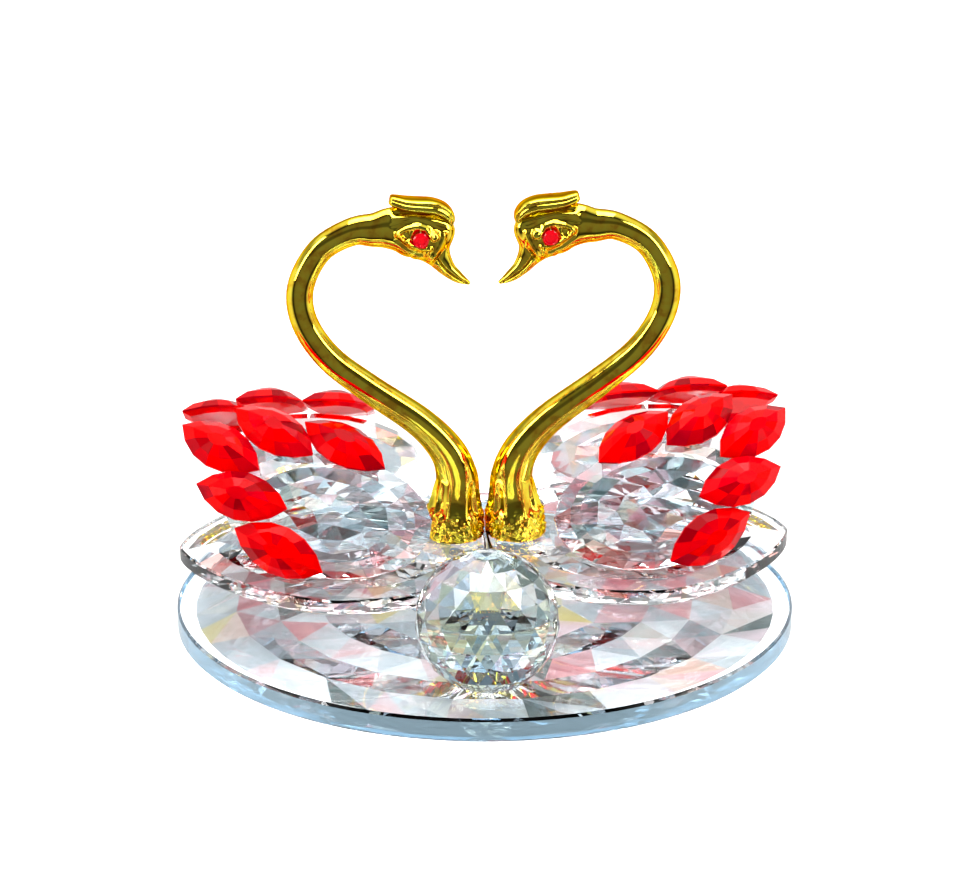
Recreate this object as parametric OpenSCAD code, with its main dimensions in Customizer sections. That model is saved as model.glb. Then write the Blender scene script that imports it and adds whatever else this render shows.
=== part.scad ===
// Pair of crystal swans on a round base: faceted clear glass bodies with red
// feather stones, gilt cast necks that form a heart, and a faceted ball in front.
// Sizes are in millimetres. The base rests on Z = 0, +X is to the right and -Y faces the front.

/* [Base plate] */
// Diameter of the round base plate
base_d = 120; // [90:1:160]
// Thickness of the base plate
base_t = 4.5; // [3:0.5:8]
// Polished bevel on both rims of the base plate
base_bevel = 0.5; // [0.2:0.1:1]

/* [Front ball] */
// Diameter of the faceted ball
ball_d = 26.4; // [18:0.2:30]
// Diameter of the flat that the ball stands on
ball_flat_d = 8; // [5:0.5:10]
// Distance of the ball in front of the middle of the base
ball_reach = 44.5; // [40:0.5:47]
// Facets around the ball
ball_columns = 18; // [12:2:24]
// Rows of facets from the flat to the top
ball_rows = 9; // [7:1:11]

/* [Swan pair] */
// Distance of the pair behind the middle of the base
pair_back = 8; // [4:0.5:10]
// Angle that the pair is turned on the base
pair_turn = 4.5; // [0:0.5:8]

/* [Swan bodies] */
// Length of each body plate, from the middle to the tail tip
plate_len = 59.6; // [54:0.2:61]
// Width of each body plate
plate_w = 62.8; // [58:0.2:64]
// Thickness of each body plate
plate_t = 3; // [2.5:0.5:4]
// Distance that the body plates sit forward of the necks
plate_forward = 3.5; // [3:0.5:4]
// Girdle diameter of the foot stone under each body plate
foot_d = 16; // [12:0.5:18]
// Height of each foot stone
foot_h = 7.2; // [6:0.1:10]

/* [Wings] */
// Length of each oval wing plate
wing_len = 39.6; // [38:0.2:41]
// Height of each oval wing plate along its own face
wing_h = 24; // [23:0.5:25]
// Thickness of each wing plate
wing_t = 4; // [3:0.5:5]
// Angle that each wing leans in from upright
wing_lean = 32; // [30:1:34]
// Angle that the rear of the wing is raised
wing_tilt = 10; // [8:1:12]
// Share of the oval that the flat middle of the face takes
wing_table = 0.76; // [0.7:0.02:0.8]

/* [Feather stones] */
// Length of each pointed red stone
stone_len = 19; // [17:0.5:20]
// Width of each red stone
stone_w = 9.4; // [8:0.2:10]
// Thickness of each red stone
stone_t = 4; // [3:0.2:5]

/* [Necks and eyes] */
// Scale of the tube thickness of the cast necks
neck_gauge = 1; // [0.9:0.02:1.05]
// Depth of the flutes around the foot of each neck
flute_depth = 0.3; // [0:0.05:0.4]
// Diameter of each eye stone
eye_d = 3.0; // [2.6:0.1:3.4]

/* [Hidden] */

// Levels above the table
foot_z = base_t;
plate_z = foot_z + foot_h;
top_z = plate_z + plate_t;

// Wing layout in its own plane: u runs to the tail, w runs up the leaning face
wing_foot_y = 24.5;
wing_u = 31.3;
wing_w = 12.4;
wing_sides = 20;

// Each feather: [u, w, angle of its long axis, bevel facet it is glued to]
feathers = [
    [27.75, 25.9, 42, 4],
    [41.0, 29.4, 42, 3],
    [51.3, 26.7, 39, 2],
    [47.6, 16.3, 20, 0],
    [41.0, 5.6, 28, 18]
];

// Neck and head stations: [x, z, half thickness in the plane, half thickness across, crest height]
neck_path = [
    [6.1, 14.7, 6.0, 7.4, 0],
    [5.9, 18.0, 5.75, 6.5, 0],
    [5.6, 22.4, 4.8, 4.6, 0],
    [5.5, 26.6, 4.1, 4.0, 0],
    [7.5, 31.8, 3.5, 3.5, 0],
    [12.7, 37.6, 3.05, 3.05, 0],
    [22.2, 44.6, 2.8, 2.8, 0],
    [30.0, 51.1, 2.65, 2.65, 0],
    [34.6, 58.4, 2.6, 2.6, 0],
    [35.2, 65.5, 2.6, 2.6, 0],
    [31.5, 72.5, 2.5, 2.5, 0],
    [25.5, 76.0, 2.7, 2.6, 0],
    [21.0, 76.3, 3.3, 2.8, 0.6],
    [18.6, 76.3, 3.8, 3.0, 3.1],
    [16.2, 76.0, 4.3, 3.3, 2.1],
    [14.0, 75.2, 4.8, 3.5, 1.9],
    [12.0, 74.3, 4.6, 3.4, 2.4],
    [10.4, 73.0, 4.0, 3.1, 2.3],
    [8.9, 70.8, 2.4, 2.0, 0.4],
    [7.0, 68.3, 1.6, 1.5, 0],
    [4.9, 66.5, 1.1, 1.1, 0],
    [2.8, 65.3, 0.45, 0.5, 0]
];

neck_sides = 24;
steps = 3;
eye_x = 12.4;
eye_z = 74.9;
eye_seat = 2.7;

// Catmull-Rom curve through a list of stations
function at(list, i) = list[max(0, min(len(list) - 1, i))];
function curve(a, b, c, d, t) =
    0.5 * (2 * b + (c - a) * t + (2 * a - 5 * b + 4 * c - d) * t * t
    + (3 * b - a - 3 * c + d) * t * t * t);
function smooth(list) = concat([
    for (i = [0:len(list) - 2])
        for (k = [0:steps - 1])
            curve(at(list, i - 1), list[i], list[i + 1], at(list, i + 2), k / steps)
], [list[len(list) - 1]]);

// Direction of the curve at station i, upright at the foot
function heading(list, i) =
    let (a = at(list, i - 1), b = at(list, i + 1), d = [b[0] - a[0], b[1] - a[1]])
    i == 0 ? [0, 1] : d / norm(d);

// Flutes fade out towards the top of the neck's foot
function flute(z, ang) =
    z > 30 ? 1 : 1 - flute_depth / 6 * (30 - z) / 14.5 * (1 - cos(8 * ang));

// Closed skin over a stack of rings that all have the same number of points
function ring_faces(rings, n) = concat(
    [[for (j = [n - 1:-1:0]) j]],
    [for (i = [0:rings - 2]) for (j = [0:n - 1])
        [i * n + j, i * n + (j + 1) % n, (i + 1) * n + (j + 1) % n, (i + 1) * n + j]],
    [[for (j = [0:n - 1]) (rings - 1) * n + j]]
);

// Cast neck and head along the stations in the XZ plane, with the crest as a ridge on top
module cast_neck() {
    list = smooth(neck_path);
    n = neck_sides;
    pts = [
        for (i = [0:len(list) - 1])
            let (t = heading(list, i), s = list[i])
            for (j = [0:n - 1])
                let (
                    ang = 360 * j / n,
                    k = neck_gauge * flute(s[1], ang),
                    r = s[2] * k * cos(ang) + s[4] * pow(max(0, cos(ang)), 6)
                )
                [s[0] + t[1] * r, s[3] * k * sin(ang), s[1] - t[0] * r]
    ];
    polyhedron(pts, ring_faces(len(list), n), convexity = 6);
}

// Faceted turning: rings of [radius, height], each ring half a facet round from the last
module cut_turning(rings, n) {
    m = len(rings);
    pts = [
        for (i = [0:m - 1])
            for (j = [0:n - 1])
                let (ang = 360 * (j + (i % 2) / 2) / n)
                [rings[i][0] * cos(ang), rings[i][0] * sin(ang), rings[i][1]]
    ];
    bands = [
        for (i = [0:m - 2])
            for (j = [0:n - 1])
                let (a = i * n + j, b = i * n + (j + 1) % n, c = (i + 1) * n + j)
                let (d = (i + 1) * n + (j + 1) % n)
                for (f = (i % 2 == 0) ? [[a, b, c], [b, d, c]] : [[a, d, c], [a, b, d]])
                    f
    ];
    ends = [[for (j = [n - 1:-1:0]) j], [for (j = [0:n - 1]) (m - 1) * n + j]];
    polyhedron(pts, concat(bands, ends), convexity = 4);
}

// Leaf outline of a body plate: blunt at the neck, drawn out at the tail
function power(v, p) = sign(v) * pow(abs(v), p);
function leaf(inset) = [
    for (j = [0:27])
        let (ang = 360 * j / 28, p = cos(ang) > 0 ? 2 / 1.5 : 2 / 2.3)
        [(plate_len / 2 - inset) * power(cos(ang), p), (plate_w / 2 - inset) * power(sin(ang), p)]
];

// Oval of a wing plate, scaled about its middle so that every bevel facet is flat
function oval(j, share) =
    let (
        ang = 360 * (j + 0.5) / wing_sides,
        a = share * wing_len / 2 * cos(ang),
        b = share * wing_h / 2 * sin(ang)
    )
    [wing_u + a * cos(wing_tilt) - b * sin(wing_tilt), wing_w + a * sin(wing_tilt) + b * cos(wing_tilt)];

// From the wing's own plane to the swan: n is the height above the middle of the plate
function lift(p) = [
    p[0],
    -wing_foot_y + p[1] * sin(wing_lean) - p[2] * cos(wing_lean),
    top_z + p[1] * cos(wing_lean) + p[2] * sin(wing_lean)
];

girdle = 0.6;
function rim(j) = concat(oval(j, 1), [girdle]);
function table(j) = concat(oval(j, wing_table), [wing_t / 2]);
function unit(v) = v / norm(v);
function facet_normal(k) = unit(cross(rim(k) - rim(k - 1), table(k) - rim(k)));

// Outline of a pointed stone: two equal arcs that meet at the tips
function navette(j, n, s) =
    let (
        h = stone_w / 2,
        l = stone_len / 2,
        r = (l * l + h * h) / (2 * h),
        top = j < n / 2,
        q = top ? j / (n / 2) : (j - n / 2) / (n / 2),
        half = asin(l / r),
        ang = half - 2 * half * q,
        x = r * sin(ang),
        y = r * cos(ang) - (r - h)
    )
    top ? [s * x, s * y] : [-s * x, -s * y];

back_t = 0.9;
stone_sides = 12;

// One red stone glued to bevel facet k of the wing plate
module navette_on_wing(f) {
    n = facet_normal(f[3]);
    p = rim(f[3]);
    h = p[2] + (back_t - n[0] * (f[0] - p[0]) - n[1] * (f[1] - p[1])) / n[2];
    lead = [cos(f[2]), sin(f[2]), 0];
    x = unit(lead - (lead * n) * n);
    y = cross(n, x);
    levels = [[0.8, -back_t], [1, -0.2], [1, 0.2], [0.66, stone_t * 0.5], [0.26, stone_t - back_t]];
    pts = [
        for (v = levels)
            for (j = [0:stone_sides - 1])
                let (q = navette(j, stone_sides, v[0]))
                lift([f[0], f[1], h] + q[0] * x + q[1] * y + v[1] * n)
    ];
    polyhedron(pts, ring_faces(len(levels), stone_sides), convexity = 4);
}

// Place a piece of the right-hand swan: side is 1 or -1, face is 1 for front and -1 for back
module on_swan(side, face) {
    translate([0, pair_back, 0])
        rotate([0, 0, pair_turn])
            mirror([side < 0 ? 1 : 0, 0, 0])
                mirror([0, face < 0 ? 1 : 0, 0])
                    children();
}

module base_plate() {
    r = base_d / 2;
    color("lightblue")
        rotate_extrude($fn = 180)
            polygon([[0, 0], [r - base_bevel, 0], [r, base_bevel], [r, base_t - base_bevel],
                [r - base_bevel, base_t], [0, base_t]]);
}

module front_ball() {
    r = ball_d / 2;
    low = -asin(sqrt(1 - pow(ball_flat_d / ball_d, 2)));
    drop = r * sin(low);
    rings = [
        for (i = [0:ball_rows])
            let (ang = low + (78 - low) * i / ball_rows)
            [r * cos(ang), r * sin(ang) - drop]
    ];
    color("azure")
        translate([0, -ball_reach, base_t])
            cut_turning(rings, ball_columns);
}

module foot_stone(side) {
    g = foot_d / 2;
    color("whitesmoke")
        on_swan(side, 1)
            translate([28, -plate_forward, foot_z])
                cut_turning([[g * 0.55, 0], [g * 0.86, foot_h * 0.24], [g, foot_h * 0.45],
                    [g, foot_h * 0.56], [g * 0.84, foot_h * 0.78], [g * 0.56, foot_h]], 14);
}

module body_plate(side) {
    rings = [[1.8, 0], [0, 0.7], [0, plate_t - 0.4], [0.4, plate_t]];
    pts = [for (v = rings) for (q = leaf(v[0])) [q[0], q[1], v[1]]];
    color("aliceblue")
        on_swan(side, 1)
            translate([plate_len / 2 + 0.2, -plate_forward, plate_z])
                polyhedron(pts, ring_faces(len(rings), 28), convexity = 4);
}

module wing_plate(side, face) {
    rings = [[0.8, -wing_t / 2], [1, -girdle], [1, girdle], [wing_table, wing_t / 2]];
    n = wing_sides;
    pts = [for (v = rings) for (j = [0:n - 1]) lift(concat(oval(j, v[0]), [v[1]]))];
    color("azure")
        on_swan(side, face)
            difference() {
                polyhedron(pts, ring_faces(len(rings), n), convexity = 4);
                translate([wing_u - 30, -wing_foot_y - 30, top_z - 20])
                    cube([60, 60, 20]);
            }
}

module feather(side, face, k) {
    color("red")
        on_swan(side, face)
            navette_on_wing(feathers[k]);
}

module neck(side) {
    color("gold")
        on_swan(side, 1)
            difference() {
                cast_neck();
                for (s = [-1, 1])
                    translate([eye_x, s * eye_seat, eye_z])
                        rotate([-90 * s, 0, 0])
                            cylinder(d = eye_d, h = 4, $fn = 48);
            }
}

module eye(side, face) {
    r = eye_d / 2;
    color("crimson")
        on_swan(side, face)
            translate([eye_x, -eye_seat, eye_z])
                rotate([90, 0, 0])
                    rotate_extrude($fn = 48)
                        polygon(concat([[0, 0], [r, 0]],
                            [for (a = [0:15:90]) [r * cos(a), 0.75 + 0.55 * sin(a)]]));
}

module foot_stone_left() {
    foot_stone(-1);
}

module foot_stone_right() {
    foot_stone(1);
}

module body_plate_left() {
    body_plate(-1);
}

module body_plate_right() {
    body_plate(1);
}

module wing_left_front() {
    wing_plate(-1, 1);
}

module wing_left_back() {
    wing_plate(-1, -1);
}

module wing_right_front() {
    wing_plate(1, 1);
}

module wing_right_back() {
    wing_plate(1, -1);
}

module feather_left_front_1() {
    feather(-1, 1, 0);
}

module feather_left_front_2() {
    feather(-1, 1, 1);
}

module feather_left_front_3() {
    feather(-1, 1, 2);
}

module feather_left_front_4() {
    feather(-1, 1, 3);
}

module feather_left_front_5() {
    feather(-1, 1, 4);
}

module feather_left_back_1() {
    feather(-1, -1, 0);
}

module feather_left_back_2() {
    feather(-1, -1, 1);
}

module feather_left_back_3() {
    feather(-1, -1, 2);
}

module feather_left_back_4() {
    feather(-1, -1, 3);
}

module feather_left_back_5() {
    feather(-1, -1, 4);
}

module feather_right_front_1() {
    feather(1, 1, 0);
}

module feather_right_front_2() {
    feather(1, 1, 1);
}

module feather_right_front_3() {
    feather(1, 1, 2);
}

module feather_right_front_4() {
    feather(1, 1, 3);
}

module feather_right_front_5() {
    feather(1, 1, 4);
}

module feather_right_back_1() {
    feather(1, -1, 0);
}

module feather_right_back_2() {
    feather(1, -1, 1);
}

module feather_right_back_3() {
    feather(1, -1, 2);
}

module feather_right_back_4() {
    feather(1, -1, 3);
}

module feather_right_back_5() {
    feather(1, -1, 4);
}

module neck_left() {
    neck(-1);
}

module neck_right() {
    neck(1);
}

module eye_left_front() {
    eye(-1, 1);
}

module eye_left_back() {
    eye(-1, -1);
}

module eye_right_front() {
    eye(1, 1);
}

module eye_right_back() {
    eye(1, -1);
}

base_plate();
front_ball();
foot_stone_left();
foot_stone_right();
body_plate_left();
body_plate_right();
wing_left_front();
wing_left_back();
wing_right_front();
wing_right_back();
feather_left_front_1();
feather_left_front_2();
feather_left_front_3();
feather_left_front_4();
feather_left_front_5();
feather_left_back_1();
feather_left_back_2();
feather_left_back_3();
feather_left_back_4();
feather_left_back_5();
feather_right_front_1();
feather_right_front_2();
feather_right_front_3();
feather_right_front_4();
feather_right_front_5();
feather_right_back_1();
feather_right_back_2();
feather_right_back_3();
feather_right_back_4();
feather_right_back_5();
neck_left();
neck_right();
eye_left_front();
eye_left_back();
eye_right_front();
eye_right_back();
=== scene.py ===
import bpy
import bmesh
import math
from mathutils import Matrix, Vector, noise


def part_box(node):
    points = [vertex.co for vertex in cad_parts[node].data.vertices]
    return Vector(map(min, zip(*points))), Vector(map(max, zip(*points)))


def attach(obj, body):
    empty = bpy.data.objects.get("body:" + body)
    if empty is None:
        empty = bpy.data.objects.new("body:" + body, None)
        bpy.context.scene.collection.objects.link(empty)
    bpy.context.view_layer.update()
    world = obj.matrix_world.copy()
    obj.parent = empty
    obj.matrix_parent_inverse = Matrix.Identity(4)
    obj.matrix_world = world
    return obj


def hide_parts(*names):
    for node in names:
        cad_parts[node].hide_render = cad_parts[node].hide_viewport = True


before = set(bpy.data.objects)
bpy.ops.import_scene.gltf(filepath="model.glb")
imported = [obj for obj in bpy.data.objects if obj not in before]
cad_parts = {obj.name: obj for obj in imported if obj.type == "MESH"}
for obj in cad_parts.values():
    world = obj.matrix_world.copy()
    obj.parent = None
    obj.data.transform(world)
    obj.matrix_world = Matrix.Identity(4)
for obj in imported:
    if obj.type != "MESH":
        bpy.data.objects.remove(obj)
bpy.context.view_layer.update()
MM = 0.001
TAU = 2 * math.pi
SIDES = {"left": -1, "right": 1}
FACES = {"front": 1, "back": -1}


# ------------------------------------------------------------ places, taken from the CAD boxes
def mid(node):
    lo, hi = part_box(node)
    return (lo + hi) / 2


eyes = {(side, face): mid("eye_%s_%s" % (side, face)) for side in SIDES for face in FACES}
pair_mid = sum(eyes.values(), Vector()) / 4
across = eyes["right", "front"] + eyes["right", "back"] - eyes["left", "front"] - eyes["left", "back"]
pair_turn = math.atan2(across.y, across.x)
base_lo, base_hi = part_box("base_plate")
base_r = (base_hi.x - base_lo.x) / 2 / MM
base_t = base_hi.z / MM
plate_lo, plate_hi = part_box("body_plate_left")
plate_z = plate_lo.z / MM
plate_top = plate_hi.z / MM


def swan_frame(side, face=1):
    """From a swan's own frame in millimetres, drawn as the right swan's front half, to the model's."""
    place = Matrix.Translation((pair_mid.x, pair_mid.y, 0)) @ Matrix.Rotation(pair_turn, 4, "Z")
    return place @ Matrix.Diagonal((side * MM, face * MM, MM, 1))


# ------------------------------------------------------------ mesh helpers
def smooth(a, b, v):
    """Rises smoothly from 0 at a to 1 at b."""
    t = min(1, max(0, (v - a) / (b - a)))
    return t * t * (3 - 2 * t)


def finish_piece(name, bm, matrix, mat, node, rounded="none", sharp=10):
    """Places a finished mesh in the model.

    rounded says which faces are smooth-shaded: all, rim or none. Edges above sharp degrees stay hard."""
    bm.transform(matrix)
    bmesh.ops.recalc_face_normals(bm, faces=bm.faces)
    me = bpy.data.meshes.new(name)
    bm.to_mesh(me)
    bm.free()
    if rounded != "none":
        me.set_sharp_from_angle(angle=math.radians(sharp))
    for poly in me.polygons:
        poly.use_smooth = rounded == "all" or (rounded == "rim" and abs(poly.normal.z) < 0.5)
    ob = bpy.data.objects.new(name, me)
    bpy.context.collection.objects.link(ob)
    me.materials.append(mat)
    # of the pieces made here, only the gilt necks cast a shadow
    ob.visible_shadow = mat is gilt
    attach(ob, "root")
    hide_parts(node)


def ring(bm, points):
    return [bm.verts.new(p) for p in points]


def close_tube(bm, rings):
    """Skins rings of one count in their order, and caps both ends."""
    for a, b in zip(rings, rings[1:]):
        for j in range(len(a)):
            after = (j + 1) % len(a)
            bm.faces.new((a[j], a[after], b[after], b[j]))
    bm.faces.new(rings[0])
    bm.faces.new(rings[-1])


def join_rings(bm, a, b):
    """Closes the band between two rings of any counts, each starting at the same bearing."""
    i = j = 0
    na, nb = len(a), len(b)
    while i < na or j < nb:
        if j >= nb or (i < na and (i + 0.5) / na <= (j + 0.5) / nb):
            if na == nb and j < nb:
                bm.faces.new((a[i % na], a[(i + 1) % na], b[(j + 1) % nb], b[j % nb]))
                j += 1
            else:
                bm.faces.new((a[i % na], a[(i + 1) % na], b[j % nb]))
            i += 1
        else:
            bm.faces.new((a[i % na], b[(j + 1) % nb], b[j % nb]))
            j += 1


def zip_rings(bm, a, b, shift_a=0.0, shift_b=0.0):
    """Triangles between two rings whose points are spread evenly, with a shift in steps."""
    na, nb = len(a), len(b)
    i = j = 0
    while i < na or j < nb:
        next_a = (i + 1 + shift_a) / na if i < na else 9
        next_b = (j + 1 + shift_b) / nb if j < nb else 9
        if next_a <= next_b:
            bm.faces.new((a[i % na], a[(i + 1) % na], b[j % nb]))
            i += 1
        else:
            bm.faces.new((a[i % na], b[(j + 1) % nb], b[j % nb]))
            j += 1


# ------------------------------------------------------------ camera
def camera():
    """Looks down on the front of the base, a little from the left, through a long lens."""
    cam = bpy.data.cameras.new("camera")
    ob = bpy.data.objects.new("camera", cam)
    bpy.context.collection.objects.link(ob)
    elevation, azimuth, distance = math.radians(22), math.radians(-0.6), 0.6
    pitch_up, yaw = math.radians(2.89), math.radians(0.084)
    aim = Vector((0, 0, base_hi.z))
    back = Vector((math.sin(azimuth) * math.cos(elevation), -math.cos(azimuth) * math.cos(elevation),
                   math.sin(elevation)))
    ob.location = aim + back * distance
    ob.rotation_euler = (math.pi / 2 - elevation + pitch_up, 0, azimuth + yaw)
    cam.sensor_width = 36
    cam.lens = 114.6
    cam.clip_start = 0.01
    bpy.context.scene.camera = ob


camera()


# ------------------------------------------------------------ shader nodes
def new_material(name):
    mat = bpy.data.materials.new(name)
    mat.use_nodes = True
    return mat, mat.node_tree, mat.node_tree.nodes["Principled BSDF"]


def ramp_node(nt, stops):
    node = nt.nodes.new("ShaderNodeValToRGB")
    elements = node.color_ramp.elements
    elements[0].position, elements[0].color = stops[0][0], (*stops[0][1], 1)
    elements[1].position, elements[1].color = stops[-1][0], (*stops[-1][1], 1)
    for position, color in stops[1:-1]:
        elements.new(position).color = (*color, 1)
    return node


def map_range(nt, value, start, end, low=0, high=1):
    node = nt.nodes.new("ShaderNodeMapRange")
    for key, number in (("From Min", start), ("From Max", end), ("To Min", low), ("To Max", high)):
        node.inputs[key].default_value = number
    nt.links.new(value, node.inputs["Value"])
    return node.outputs["Result"]


def multiply(nt, a, b):
    mix = nt.nodes.new("ShaderNodeMix")
    mix.data_type = "RGBA"
    mix.blend_type = "MULTIPLY"
    mix.inputs["Factor"].default_value = 1
    nt.links.new(a, mix.inputs["A"])
    nt.links.new(b, mix.inputs["B"])
    return mix.outputs["Result"]


def grain(nt, scale, detail):
    """Noise fixed to the object, at so many cells a metre."""
    co = nt.nodes.new("ShaderNodeTexCoord")
    tex = nt.nodes.new("ShaderNodeTexNoise")
    tex.inputs["Scale"].default_value = scale
    tex.inputs["Detail"].default_value = detail
    nt.links.new(co.outputs["Object"], tex.inputs["Vector"])
    return tex.outputs["Fac"]


def link_bump(nt, bsdf, height, strength, distance):
    bump = nt.nodes.new("ShaderNodeBump")
    bump.inputs["Strength"].default_value = strength
    bump.inputs["Distance"].default_value = distance
    nt.links.new(height, bump.inputs["Height"])
    nt.links.new(bump.outputs[0], bsdf.inputs["Normal"])


# ------------------------------------------------------------ light and floor
def grey(v):
    return (v, v, v)


def area(name, loc, aim, size, power):
    """A soft box of size metres at loc, facing aim."""
    light = bpy.data.lights.new(name, "AREA")
    light.shape = "RECTANGLE"
    light.size, light.size_y = size
    light.energy = power
    ob = bpy.data.objects.new(name, light)
    bpy.context.collection.objects.link(ob)
    ob.location = loc
    ob.rotation_euler = (Vector(loc) - Vector(aim)).to_track_quat("Z", "Y").to_euler()


def studio():
    """A white cove with a dark room in front of it, and soft boxes left, right and above."""
    dark_way = (0, -0.97, 0.24)
    scene = bpy.context.scene
    scene.view_settings.view_transform = "Standard"
    scene.cycles.max_bounces = 32
    scene.cycles.transmission_bounces = 28
    scene.cycles.glossy_bounces = 12
    scene.cycles.diffuse_bounces = 4
    scene.cycles.sample_clamp_indirect = 12
    world = bpy.data.worlds.new("studio")
    scene.world = world
    world.use_nodes = True
    nt = world.node_tree
    back = nt.nodes["Background"]
    co = nt.nodes.new("ShaderNodeTexCoord")
    dot = nt.nodes.new("ShaderNodeVectorMath")
    dot.operation = "DOT_PRODUCT"
    dot.inputs[1].default_value = dark_way
    nt.links.new(co.outputs["Generated"], dot.inputs[0])
    room = ramp_node(nt, [(0.0, grey(0.75)), (0.25, grey(1.0)), (0.58, grey(1.0)), (0.66, grey(0.5)),
                          (0.71, grey(0.03)), (0.77, grey(0.03)), (0.84, grey(0.16)), (1.0, grey(0.2))])
    nt.links.new(map_range(nt, dot.outputs["Value"], -1, 1), room.inputs[0])
    # the cove is bright at table height, greyer above it, and bright again overhead
    split = nt.nodes.new("ShaderNodeSeparateXYZ")
    nt.links.new(co.outputs["Generated"], split.inputs[0])
    height = ramp_node(nt, [(0.0, grey(1.0)), (0.2, grey(1.0)), (0.3, grey(0.4)), (0.5, grey(0.35)),
                            (0.64, grey(0.95)), (1.0, grey(1.0))])
    nt.links.new(split.outputs["Z"], height.inputs[0])
    nt.links.new(multiply(nt, room.outputs[0], height.outputs[0]), back.inputs["Color"])
    back.inputs["Strength"].default_value = 1.1
    area("soft_left", (-0.75, -0.3, 0.45), (0, 0, 0.04), (0.2, 0.7), 4.5)
    area("soft_right", (0.75, -0.3, 0.45), (0, 0, 0.04), (0.2, 0.7), 4.5)
    area("soft_top", (0, 0.1, 0.9), (0, 0, 0.03), (0.8, 0.6), 13.0)


studio()


def table_top():
    """Pale paper, lying just below the base so that their faces don't coincide."""
    drop = 0.3 * MM
    mat, nt, bsdf = new_material("floor_paper")
    bsdf.inputs["Base Color"].default_value = (0.92, 0.92, 0.92, 1)
    bsdf.inputs["Roughness"].default_value = 0.9
    fibres = nt.nodes.new("ShaderNodeTexNoise")
    fibres.inputs["Scale"].default_value = 900
    link_bump(nt, bsdf, fibres.outputs["Fac"], 0.03, 0.2 * MM)
    bm = bmesh.new()
    bmesh.ops.create_grid(bm, x_segments=4, y_segments=4, size=4)
    me = bpy.data.meshes.new("floor")
    bm.to_mesh(me)
    bm.free()
    me.materials.append(mat)
    floor = bpy.data.objects.new("floor", me)
    bpy.context.collection.objects.link(floor)
    floor.location.z = -drop
    # polished faces don't mirror the floor
    floor.visible_glossy = False


table_top()


# ------------------------------------------------------------ materials
# a face is level when its normal's z is beyond this, up or down
LEVEL = 0.9999
# scale from a facet's direction to its place in the noise that picks its painted reflection and shade
FACET_SPREAD = 70


def outward_normal(nt):
    """The face's own outward normal and its z, the same whichever side a ray arrives from."""
    geo = nt.nodes.new("ShaderNodeNewGeometry")
    sign = nt.nodes.new("ShaderNodeMath")
    sign.operation = "MULTIPLY_ADD"
    sign.inputs[1].default_value = -2
    sign.inputs[2].default_value = 1
    nt.links.new(geo.outputs["Backfacing"], sign.inputs[0])
    normal = nt.nodes.new("ShaderNodeVectorMath")
    normal.operation = "SCALE"
    nt.links.new(geo.outputs["True Normal"], normal.inputs[0])
    nt.links.new(sign.outputs[0], normal.inputs["Scale"])
    split = nt.nodes.new("ShaderNodeSeparateXYZ")
    nt.links.new(normal.outputs[0], split.inputs[0])
    return normal.outputs[0], split.outputs["Z"]


def link_painted_facet_light(nt, bsdf, stops, highest):
    """Painted reflections and shade that differ from facet to facet, in place of the way that cut glass
    splits and reflects the light.

    Level faces, and faces whose outward normal rises above highest, take the returned node's A."""
    normal, rise = outward_normal(nt)
    spread = nt.nodes.new("ShaderNodeVectorMath")
    spread.operation = "SCALE"
    spread.inputs["Scale"].default_value = FACET_SPREAD
    nt.links.new(normal, spread.inputs[0])
    tex = nt.nodes.new("ShaderNodeTexNoise")
    tex.inputs["Scale"].default_value = 1
    tex.inputs["Detail"].default_value = 1
    nt.links.new(spread.outputs[0], tex.inputs["Vector"])
    ramp = ramp_node(nt, stops)
    nt.links.new(tex.outputs["Fac"], ramp.inputs[0])
    tilted = nt.nodes.new("ShaderNodeMath")
    tilted.operation = "COMPARE"
    tilted.inputs[1].default_value = (highest - LEVEL) / 2
    tilted.inputs[2].default_value = (highest + LEVEL) / 2
    nt.links.new(rise, tilted.inputs[0])
    mix = nt.nodes.new("ShaderNodeMix")
    mix.data_type = "RGBA"
    mix.inputs["A"].default_value = (1, 1, 1, 1)
    nt.links.new(tilted.outputs[0], mix.inputs["Factor"])
    nt.links.new(ramp.outputs[0], mix.inputs["B"])
    nt.links.new(mix.outputs["Result"], bsdf.inputs["Base Color"])
    return mix


def link_wear(nt, bsdf, scale, low, high, bump_mm):
    """Fine polishing marks: roughness from low to high, and a shallow bump, from one noise."""
    marks = grain(nt, scale, 4)
    nt.links.new(map_range(nt, marks, 0.35, 0.7, low, high), bsdf.inputs["Roughness"])
    link_bump(nt, bsdf, marks, 0.4, bump_mm * MM)


# colours of the facets, chosen by their direction, with painted reflections and shade in place of cut glass's
# play of light: place on the noise, then colour
WHITE = (1, 1, 1)
PAINTED_FACET_LIGHT = [(0.32, (0.20, 0.30, 0.30)), (0.37, (0.62, 0.75, 0.82)), (0.41, (0.88, 0.95, 0.98)), (0.445, WHITE),
        (0.47, (1.0, 0.80, 0.56)), (0.49, (0.94, 0.97, 1.0)), (0.52, (0.94, 0.42, 0.48)),
        (0.54, (0.95, 0.84, 0.87)), (0.56, (0.74, 0.82, 0.87)), (0.60, WHITE), (0.64, (0.54, 0.59, 0.62)),
        (0.69, (0.75, 0.22, 0.18))]
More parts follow.
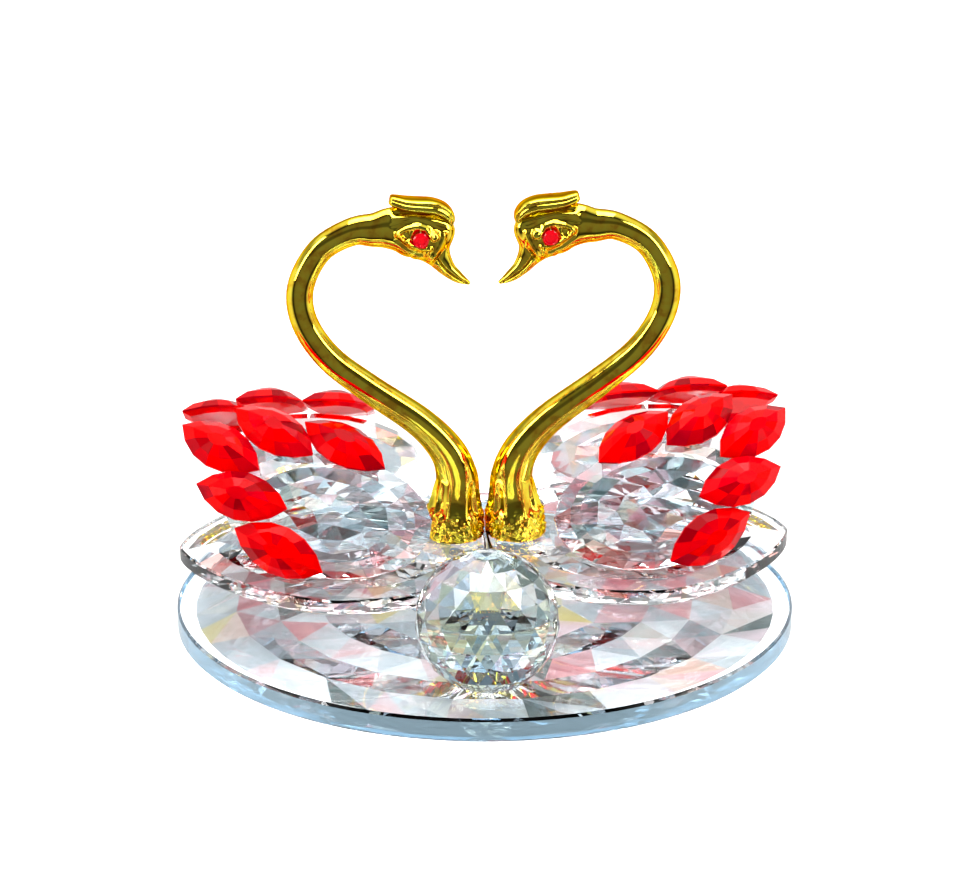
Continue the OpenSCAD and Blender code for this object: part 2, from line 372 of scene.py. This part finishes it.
# painted shade and reflections on the base's downward facets, darker than the other tables to make up for the
# brighter floor under glass that casts no shadow
BASE_PAINTED_FACET_LIGHT = [(0.32, (0.01, 0.02, 0.02)), (0.36, (0.10, 0.14, 0.16)), (0.385, (0.22, 0.28, 0.31)),
             (0.41, (0.11, 0.14, 0.16)), (0.43, (0.27, 0.32, 0.34)), (0.45, (0.27, 0.13, 0.06)),
             (0.465, (0.24, 0.31, 0.34)), (0.48, (0.25, 0.10, 0.11)), (0.492, (0.31, 0.36, 0.38)),
             (0.507, (0.16, 0.003, 0.01)), (0.522, (0.28, 0.13, 0.14)), (0.54, (0.26, 0.32, 0.34)),
             (0.56, (0.08, 0.09, 0.10)), (0.58, (0.28, 0.33, 0.35)), (0.60, (0.15, 0.19, 0.21)),
             (0.62, (0.25, 0.20, 0.03)), (0.65, (0.20, 0.25, 0.28)), (0.68, (0.02, 0.03, 0.03))]
BALL_PAINTED_FACET_LIGHT = [(0.34, (0.35, 0.50, 0.60)), (0.40, WHITE), (0.45, (0.74, 0.76, 0.86)), (0.48, (1.0, 0.92, 0.55)),
             (0.51, WHITE), (0.54, (0.60, 0.69, 0.76)), (0.58, WHITE), (0.62, (0.88, 0.82, 0.42)),
             (0.67, (0.35, 0.40, 0.44))]
# the stones' own red, with darker reds on some facets as painted facet shade
RED_AND_PAINTED_SHADE = [(0.34, (0.30, 0.0, 0.005)), (0.42, (0.75, 0.0, 0.005)), (0.46, (1.0, 0.0, 0.0)),
       (0.54, (1.0, 0.0, 0.0)), (0.58, (0.55, 0.0, 0.01)), (0.62, (1.0, 0.0, 0.0)),
       (0.70, (0.40, 0.0, 0.01))]
EYE_RED = [(0.3, (0.75, 0.0, 0.01)), (0.7, (1.0, 0.0, 0.01))]


def glass(name, stops, ior, transmission=1.0, highest=LEVEL):
    """Polished glass whose facets carry painted reflections and shade: its material, node tree, shader and
    the mix node of that painted light.
    """
    mat, nt, bsdf = new_material(name)
    bsdf.inputs["Transmission Weight"].default_value = transmission
    bsdf.inputs["IOR"].default_value = ior
    facet_light_mix = link_painted_facet_light(nt, bsdf, stops, highest)
    link_wear(nt, bsdf, 260, 0.0, 0.01, 0.002)
    return mat, nt, bsdf, facet_light_mix


def blue_base_glass():
    """Glass with a faint blue depth, a pale blue rim and painted reflections and shade on the facets that
    face down.
    """
    mat, nt, bsdf, facet_light_mix = glass("base_glass", BASE_PAINTED_FACET_LIGHT, 1.5, 1.0, -0.5)
    soak = nt.nodes.new("ShaderNodeVolumeAbsorption")
    soak.inputs["Color"].default_value = (0.6, 0.8, 0.93, 1)
    soak.inputs["Density"].default_value = 18
    nt.links.new(soak.outputs[0], nt.nodes["Material Output"].inputs["Volume"])
    # the upright rim is half ground, and scatters a pale blue light
    rim_rise, polished_rise = 0.4, 0.5
    rise = outward_normal(nt)[1]
    level = nt.nodes.new("ShaderNodeMath")
    level.operation = "ABSOLUTE"
    nt.links.new(rise, level.inputs[0])
    edge = ramp_node(nt, [(rim_rise, (0.36, 0.52, 0.62)), (polished_rise, WHITE)])
    nt.links.new(level.outputs[0], edge.inputs[0])
    nt.links.new(edge.outputs[0], facet_light_mix.inputs["A"])
    ground = map_range(nt, level.outputs[0], rim_rise, polished_rise, 0.5)
    nt.links.new(ground, bsdf.inputs["Transmission Weight"])
    return mat


def cut_ball_glass():
    """Clear glass with painted reflections: bluer on facets below the ball's middle and warmer on those just
    above it, by the way each facet faces.
    """
    mat, nt, bsdf, facet_light_mix = glass("ball_glass", BALL_PAINTED_FACET_LIGHT, 1.54)
    painted_reflection_bands = ramp_node(nt, [(0.0, (0.9, 0.95, 1.0)), (0.22, (0.55, 0.72, 0.82)), (0.38, (0.66, 0.80, 0.88)),
                           (0.47, WHITE), (0.56, (1.0, 0.92, 0.62)), (0.66, (1.0, 0.97, 0.82)),
                           (0.76, WHITE), (1.0, WHITE)])
    nt.links.new(map_range(nt, outward_normal(nt)[1], -1, 1), painted_reflection_bands.inputs[0])
    nt.links.new(multiply(nt, facet_light_mix.outputs["Result"], painted_reflection_bands.outputs[0]), bsdf.inputs["Base Color"])
    return mat


def red_stone_glass():
    """Deep red glass with a weak red gloss, to keep its reflections red."""
    mat, nt, bsdf, facet_light_mix = glass("red_glass", RED_AND_PAINTED_SHADE, 1.27, 0.5)
    bsdf.inputs["Specular IOR Level"].default_value = 0.25
    bsdf.inputs["Specular Tint"].default_value = (1.0, 0.03, 0.03, 1)
    return mat


def gilding():
    """Gilt on cast metal, darker and redder in the worn patches."""
    mat, nt, bsdf = new_material("gilt")
    bsdf.inputs["Metallic"].default_value = 1
    bsdf.inputs["Specular Tint"].default_value = (1.0, 0.42, 0.06, 1)
    worn = ramp_node(nt, [(0.34, (0.72, 0.42, 0.03)), (0.46, (0.86, 0.62, 0.045)), (0.6, (0.86, 0.72, 0.06))])
    nt.links.new(grain(nt, 420, 3), worn.inputs[0])
    nt.links.new(worn.outputs[0], bsdf.inputs["Base Color"])
    link_wear(nt, bsdf, 650, 0.03, 0.08, 0.015)
    return mat


base_glass = blue_base_glass()
clear_glass = glass("clear_glass", PAINTED_FACET_LIGHT, 1.54)[0]
ball_glass = cut_ball_glass()
red_glass = red_stone_glass()
eye_glass = glass("eye_glass", EYE_RED, 1.5, 0.3)[0]
gilt = gilding()


# ------------------------------------------------------------ necks: fluted, curved, gilt castings
# the neck's middle line from foot to beak: x, z, half thickness, half width, rise of the crown
NECK = [(6.1, 14.7, 6.0, 7.4, 0), (5.9, 18.0, 5.75, 6.5, 0), (5.6, 22.4, 4.8, 4.6, 0),
        (5.5, 26.6, 4.1, 4.0, 0), (7.5, 31.8, 3.5, 3.5, 0), (12.7, 37.6, 3.05, 3.05, 0),
        (22.2, 44.6, 2.8, 2.8, 0), (30.0, 51.1, 2.65, 2.65, 0), (34.6, 58.4, 2.6, 2.6, 0),
        (35.2, 65.5, 2.6, 2.6, 0), (31.5, 72.5, 2.5, 2.5, 0), (25.5, 76.0, 2.7, 2.6, 0),
        (21.0, 76.3, 3.3, 2.8, 0.1), (18.6, 76.4, 3.7, 3.0, 0.5), (16.2, 76.1, 4.1, 3.3, 0.8),
        (14.0, 75.4, 4.5, 3.5, 1.0), (12.0, 74.5, 4.3, 3.4, 1.8), (10.4, 73.0, 4.0, 3.1, 2.0),
        (8.9, 70.8, 2.4, 2.0, 0.4), (7.0, 68.3, 1.6, 1.5, 0), (4.9, 66.5, 1.1, 1.1, 0),
        (2.8, 65.3, 0.3, 0.35, 0)]
NECK_SIDES = 132
NECK_STEPS = [12, 14, 12, 8] + [7] * 7 + [8, 10, 16, 18, 18, 18, 18, 16, 14, 12]
# the foot's relief lies below FOOT_TOP, the head's above HEAD_LOW and nearer than HEAD_BACK
FOOT_TOP, HEAD_LOW, HEAD_BACK = 36, 60, 22
# neither casting comes nearer than this to the middle of the pair
FOOT_CLEAR = 0.12

# ridges and grooves of the head: height, half width, then points in the swan's middle plane
HEAD_LINES = [
    (0.62, 0.42, [(16.8, 75.0), (15.6, 73.9), (14.0, 72.8), (12.2, 72.1), (10.6, 72.1)]),
    (0.55, 0.45, [(16.9, 75.3), (15.0, 76.2), (13.0, 76.6), (11.2, 76.0), (10.6, 74.6)]),
    (-0.45, 0.40, [(16.8, 74.0), (14.6, 72.1), (12.6, 71.2), (11.6, 71.0)]),
    (-0.28, 0.35, [(17.8, 76.8), (14.5, 77.7), (12.0, 77.4), (10.0, 76.4), (8.9, 75.9), (7.4, 75.6)]),
    (0.6, 0.50, [(17.5, 78.4), (13.0, 78.6), (10.5, 77.9), (8.5, 77.3), (6.7, 77.2)]),
    (-0.45, 0.28, [(18.5, 79.7), (16.5, 79.3), (14.4, 79.2)]),
    (-0.40, 0.32, [(13.4, 79.8), (10.5, 79.0), (9.0, 78.4), (7.2, 78.2)]),
    (-0.30, 0.25, [(9.4, 77.2), (8.0, 76.6)]),
    (0.7, 0.50, [(11.0, 69.2), (9.9, 70.6), (8.7, 72.4), (8.0, 74.0), (7.8, 75.0)]),
    (-0.38, 0.35, [(10.0, 68.9), (8.9, 70.4), (7.8, 71.9)]),
    (-0.5, 0.24, [(9.2, 70.2), (8.4, 69.0), (7.5, 67.9), (6.2, 66.8), (4.8, 65.9), (3.6, 65.35)])]
# round rises and hollows of the head: height, radius, x, z
HEAD_BUMPS = [(0.8, 1.05, 9.7, 74.6), (0.6, 0.6, 11.3, 71.0), (-0.5, 1.9, 12.7, 74.0),
              (-0.4, 0.9, 15.2, 74.8)]


def catmull(a, b, c, d, t):
    """Catmull-Rom curve from b to c."""
    square, cube = 2 * a - 5 * b + 4 * c - d, 3 * b - a - 3 * c + d
    return 0.5 * (2 * b + (c - a) * t + square * t * t + cube * t ** 3)


def stations(rows, steps):
    """Rows read along a Catmull-Rom curve, with a number of steps for each stretch."""
    out = []
    for k in range(len(rows) - 1):
        p = [rows[max(0, k - 1)], rows[k], rows[k + 1], rows[min(len(rows) - 1, k + 2)]]
        for s in range(steps[k]):
            out.append([catmull(*(q[i] for q in p), s / steps[k]) for i in range(len(rows[0]))])
    out.append(list(rows[-1]))
    return out


def heading(rows, k):
    """Direction of the middle line at row k, as the x and z of a unit vector."""
    x0, z0 = rows[max(0, k - 1)][:2]
    x1, z1 = rows[min(len(rows) - 1, k + 1)][:2]
    size = math.hypot(x1 - x0, z1 - z0)
    return (x1 - x0) / size, (z1 - z0) / size


def line_distance(x, z, points):
    best = 99.0
    for (x0, z0), (x1, z1) in zip(points, points[1:]):
        dx, dz = x1 - x0, z1 - z0
        t = min(1, max(0, ((x - x0) * dx + (z - z0) * dz) / (dx * dx + dz * dz)))
        best = min(best, math.hypot(x - x0 - t * dx, z - z0 - t * dz))
    return best


def head_relief(x, z):
    """Height of the modelling on the side of the head, over a point of the middle plane."""
    total = 0.0
    for height, width, points in HEAD_LINES:
        d = line_distance(x, z, points) / width
        if d < 3:
            total += height * math.exp(-d * d)
    for height, width, bx, bz in HEAD_BUMPS:
        d = math.hypot(x - bx, z - bz) / width
        if d < 1.6:
            total += height * (1 - smooth(0.55, 1.15, d))
    return total


def foot_relief(x, y, z, bearing):
    """Ten flutes, shallow at the front and back, that run out into a ruffled nugget collar."""
    flute = abs(math.sin(5 * bearing))
    depth = smooth(29, 19, z) * (0.03 + 1.2 * abs(math.cos(bearing)) ** 1.6)
    edge = 18.4 + 1.5 * flute + 0.6 * noise.noise(Vector((x, y, z)) * 0.9)
    collar = smooth(edge + 0.35, edge - 0.25, z)
    near, far = noise.voronoi(Vector((x, y, z)) * 0.72)[0][:2]
    nugget = 0.85 * (far - near) - 0.15
    return -depth * flute * (1 - collar) + collar * nugget


def gilt_neck(side, name):
    """Foot, neck, head and beak as one swept tube, with the crest laid on it."""
    rows = stations(NECK, NECK_STEPS)
    bm = bmesh.new()
    rings = []
    for k, (x, z, thick, wide, mound) in enumerate(rows):
        tx, tz = heading(rows, k)
        points = []
        for j in range(NECK_SIDES):
            a = TAU * j / NECK_SIDES
            up = thick * math.cos(a) + mound * max(0, math.cos(a)) ** 3
            out = wide * math.sin(a)
            px, pz = x + tz * up, z - tx * up
            if z < FOOT_TOP:
                lift = foot_relief(px, out, pz, a) if k else 0
                px = max(px + tz * lift * math.cos(a), FOOT_CLEAR)
                pz = max(pz - tx * lift * math.cos(a), plate_top) if k else plate_top
                out += lift * math.sin(a)
            elif x < HEAD_BACK and z > HEAD_LOW:
                lift = head_relief(px, pz - 0.35 * abs(out))
                out += lift * math.sin(a) * abs(math.sin(a)) * smooth(19.5, 17.5, x)
            points.append((px, out, pz))
        rings.append(ring(bm, points))
    close_tube(bm, rings)
    crest_leaf(bm)
    finish_piece("gilt_neck_" + name, bm, swan_frame(side), gilt, "neck_" + name, "all", 60)


# the crest's middle line from front to back: x, z, half thickness, half width
CREST = [(6.9, 76.4, 0.35, 0.8), (6.5, 78.3, 0.9, 1.8), (7.7, 79.9, 1.3, 2.4), (9.9, 80.8, 1.4, 2.8),
         (12.5, 81.1, 1.35, 2.95), (15.0, 81.4, 1.25, 2.8), (16.6, 81.8, 1.15, 2.3), (17.7, 82.15, 0.95, 1.8),
         (18.1, 82.25, 0.7, 1.3)]


def crest_leaf(bm):
    """The crest: a thick leaf laid back over the head, with a groove along each side."""
    sides, steps = 72, 10
    rows = stations(CREST, [steps] * (len(CREST) - 1))
    rings = []
    for k, (x, z, thick, wide) in enumerate(rows):
        tx, tz = heading(rows, k)
        points = []
        for j in range(sides):
            c, s = math.cos(TAU * j / sides), math.sin(TAU * j / sides)
            up = thick * math.copysign(abs(s) ** 0.8, s)
            out = wide * math.copysign(abs(c) ** 0.55, c)
            out *= 1 - 0.16 * math.exp(-((up / thick - 0.3) / 0.22) ** 2)
            points.append((x - tz * up, out, z + tx * up))
        rings.append(ring(bm, points))
    close_tube(bm, rings)


for name, side in SIDES.items():
    gilt_neck(side, name)


# ------------------------------------------------------------ plates with a brilliant-cut underside
# rings of a cut from the rim inwards: share of the outline, height, count, shift in steps
BASE_CUT = [(0.94, 0.0, 48, 0.0), (0.81, 0.9, 24, 0.5), (0.68, 0.1, 24, 0.0), (0.54, 1.1, 24, 0.5),
            (0.40, 0.1, 12, 0.0), (0.26, 1.1, 12, 0.5), (0.12, 0.1, 6, 0.0)]
BODY_CUT = [(0.95, 0.0, 24, 0.0), (0.77, 0.9, 24, 0.5), (0.58, 0.05, 24, 0.0), (0.38, 0.9, 12, 0.5),
            (0.18, 0.1, 6, 0.0)]


def cut_plate(bm, outline, fine, top, bottom, bevel, cut):
    """A plate with a flat top, a bevelled rim of fine points and an underside cut in rings.

    outline takes a share of a turn and gives a point, and the middle that the rings shrink to."""
    def loop(share, z, count, shift=0.0, inset=0.0):
        points = []
        for j in range(count):
            x, y, cx, cy = outline((j + shift) / count)
            reach = math.hypot(x - cx, y - cy)
            k = share - inset / reach
            points.append((cx + (x - cx) * k, cy + (y - cy) * k, z))
        return ring(bm, points)

    upper = loop(1, top, fine, 0, bevel)
    rim = [upper, loop(1, top - bevel, fine), loop(1, bottom + bevel, fine), loop(1, bottom, fine, 0, bevel)]
    for a, b in zip(rim, rim[1:]):
        join_rings(bm, a, b)
    bm.faces.new(upper)
    last, last_shift = rim[-1], 0.0
    for share, z, count, shift in cut:
        nxt = loop(share, bottom + z, count, shift)
        zip_rings(bm, last, nxt, last_shift, shift)
        last, last_shift = nxt, shift
    bm.faces.new(last)


def disc(turn):
    """Outline of the base, a hair inside the CAD rim."""
    a, r = TAU * turn, base_r - 0.02
    return r * math.cos(a), r * math.sin(a), 0, 0


def base_plate():
    bm = bmesh.new()
    cut_plate(bm, disc, 192, base_t, 0, 0.5, BASE_CUT)
    finish_piece("cut_base_plate", bm, Matrix.Scale(MM, 4), base_glass, "base_plate", "rim")


base_plate()


def leaf(turn):
    """Outline of a body plate, blunt towards the neck and pointed at the tail."""
    half_len, half_w, middle, forward = 29.8, 31.4, 30.0, -3.5
    a = TAU * turn
    c, s = math.cos(a), math.sin(a)
    power = 1.5 if c > 0 else 2.3
    k = (abs(c) ** power + abs(s) ** power) ** (-1 / power)
    return middle + half_len * c * k, forward + half_w * s * k, middle, forward


def body_plate(side, name):
    bm = bmesh.new()
    cut_plate(bm, leaf, 168, plate_top, plate_z, 0.35, BODY_CUT)
    finish_piece("cut_body_plate_" + name, bm, swan_frame(side), clear_glass,
                 "body_plate_" + name, "rim")


for name, side in SIDES.items():
    body_plate(side, name)


# ------------------------------------------------------------ wings
LEAN, TILT = math.radians(32), math.radians(10)
WING_HALF_LEN, WING_HALF_W = 19.8, 12
# the oval's middle along the swan and up the wing, and the wing's foot in front of the swan's line
WING_ALONG, WING_UP, WING_FOOT = 31.3, 12.4, 24.5
# rings of a wing from its outer face to its inner one: count, shift in steps, share, height
WING_RINGS = [(20, 0.5, 0.76, 2.0), (20, 0.5, 1.0, 0.6), (20, 0.5, 1.0, -0.6), (20, 0.0, 0.83, -1.5),
              (10, 0.25, 0.6, -1.0), (10, 0.75, 0.38, -1.9), (5, 0.25, 0.16, -1.2)]


def wing_point(j, count, share, height):
    """A point of a wing ring: along the swan, up the wing, and off its middle plane."""
    a = TAU * j / count
    u0, w0 = WING_HALF_LEN * share * math.cos(a), WING_HALF_W * share * math.sin(a)
    u = WING_ALONG + u0 * math.cos(TILT) - w0 * math.sin(TILT)
    w = WING_UP + u0 * math.sin(TILT) + w0 * math.cos(TILT)
    return (u, -WING_FOOT + w * math.sin(LEAN) - height * math.cos(LEAN),
            plate_top + w * math.cos(LEAN) + height * math.sin(LEAN))


def wing(side, face, name):
    """An oval plate: bevelled outside, and cut with rings of facets on its inner face."""
    bm = bmesh.new()
    rings = []
    for count, shift, share, height in WING_RINGS:
        rings.append((ring(bm, [wing_point(j + shift, count, share, height) for j in range(count)]), shift))
    for (a, shift_a), (b, shift_b) in zip(rings, rings[1:]):
        zip_rings(bm, a, b, shift_a, shift_b)
    bm.faces.new(rings[0][0])
    bm.faces.new(rings[-1][0])
    # the oval is cut off where it stands on the body plate
    bmesh.ops.bisect_plane(bm, geom=bm.verts[:] + bm.edges[:] + bm.faces[:], dist=0.0001,
                           plane_co=(0, 0, plate_top), plane_no=(0, 0, -1), clear_outer=True)
    bmesh.ops.edgeloop_fill(bm, edges=[e for e in bm.edges if e.is_boundary])
    finish_piece("cut_" + name, bm, swan_frame(side, face), clear_glass, name)


for name, side in SIDES.items():
    for way, face in FACES.items():
        wing(side, face, "wing_%s_%s" % (name, way))


# ------------------------------------------------------------ CAD pieces that keep their shape
KEPT = {"front_ball": ball_glass, "foot_stone": clear_glass, "feather": red_glass, "eye": eye_glass}
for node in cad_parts:
    for start, mat in KEPT.items():
        if node.startswith(start):
            for slot in bpy.data.objects[node].material_slots:
                slot.material = mat
